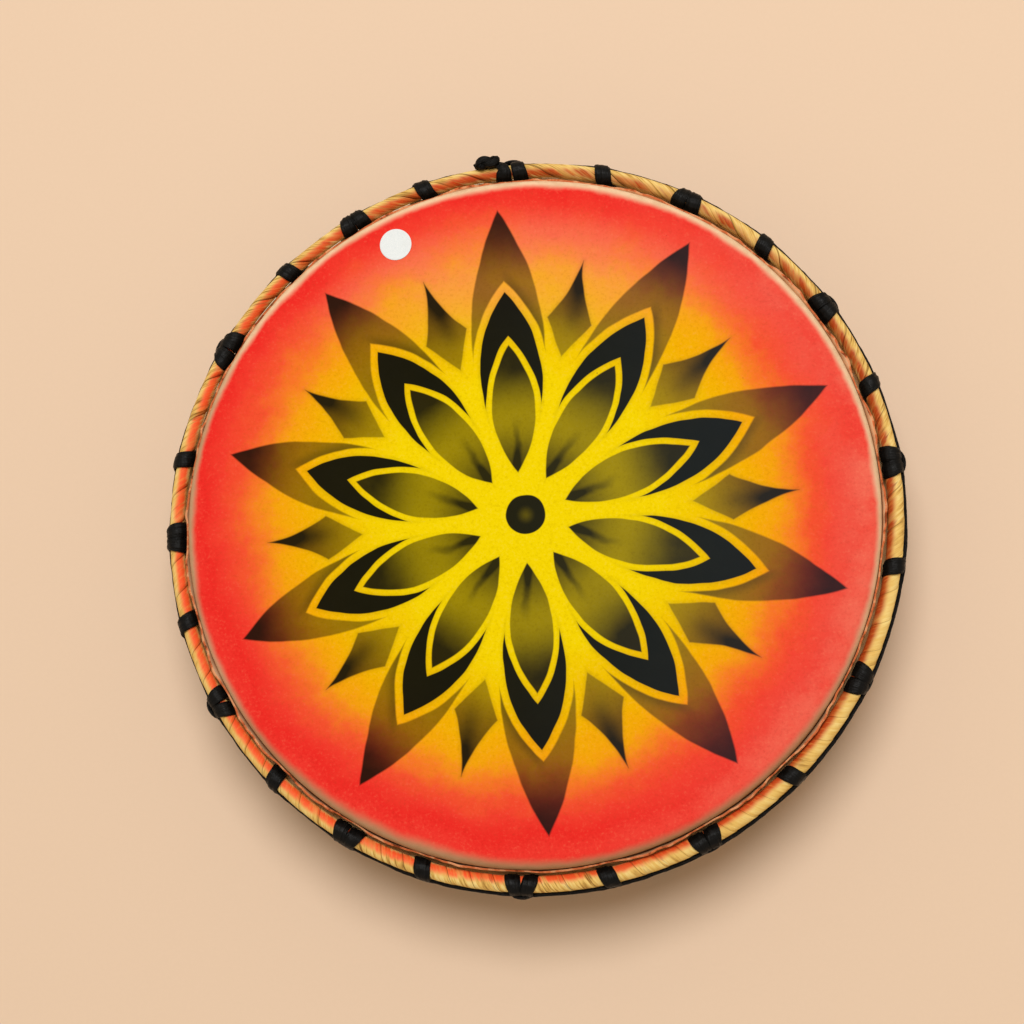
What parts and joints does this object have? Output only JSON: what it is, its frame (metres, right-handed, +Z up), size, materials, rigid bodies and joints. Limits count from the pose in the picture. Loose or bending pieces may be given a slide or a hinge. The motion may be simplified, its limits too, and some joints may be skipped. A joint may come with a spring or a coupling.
{
  "type": "hand drum",
  "caption": "Round wooden hand drum, open at the back, with a painted skin head laced by rope between a leaf-wound crown ring and a lower ring.",
  "frame": {"origin": "centre of the frame's bottom edge, on the surface that the drum lies on", "axes": "+Z up through the head along the drum's axis, +Y towards the end knot of the lacing"},
  "size_m": [0.4374, 0.4385, 0.0867],
  "materials": {
    "frame_wood": "oiled, satin",
    "foot_wood": "oiled, satin",
    "painted_skin": "goatskin with a stencilled sprayed flower, satin",
    "flesh_steel": "bare rod",
    "crown_cane": "bare cane",
    "leaf_strip": "dried leaf strip, straw yellow with orange overspray",
    "lower_cane": "bare cane",
    "black_rope": "braided, slight sheen",
    "white_paper": "matt, blank"
  },
  "bodies": {
    "root": {"frame_shell": "frame_wood", "foot_hoop": "foot_wood", "drum_head": "painted_skin", "flesh_ring": "flesh_steel", "crown_ring_core": "crown_cane", "crown_ring_wrap": "leaf_strip", "lower_ring": "lower_cane", "lacing_rope": "black_rope", "rope_end_knot": "black_rope", "paper_dot": "white_paper"}
  },
  "joints": []
}
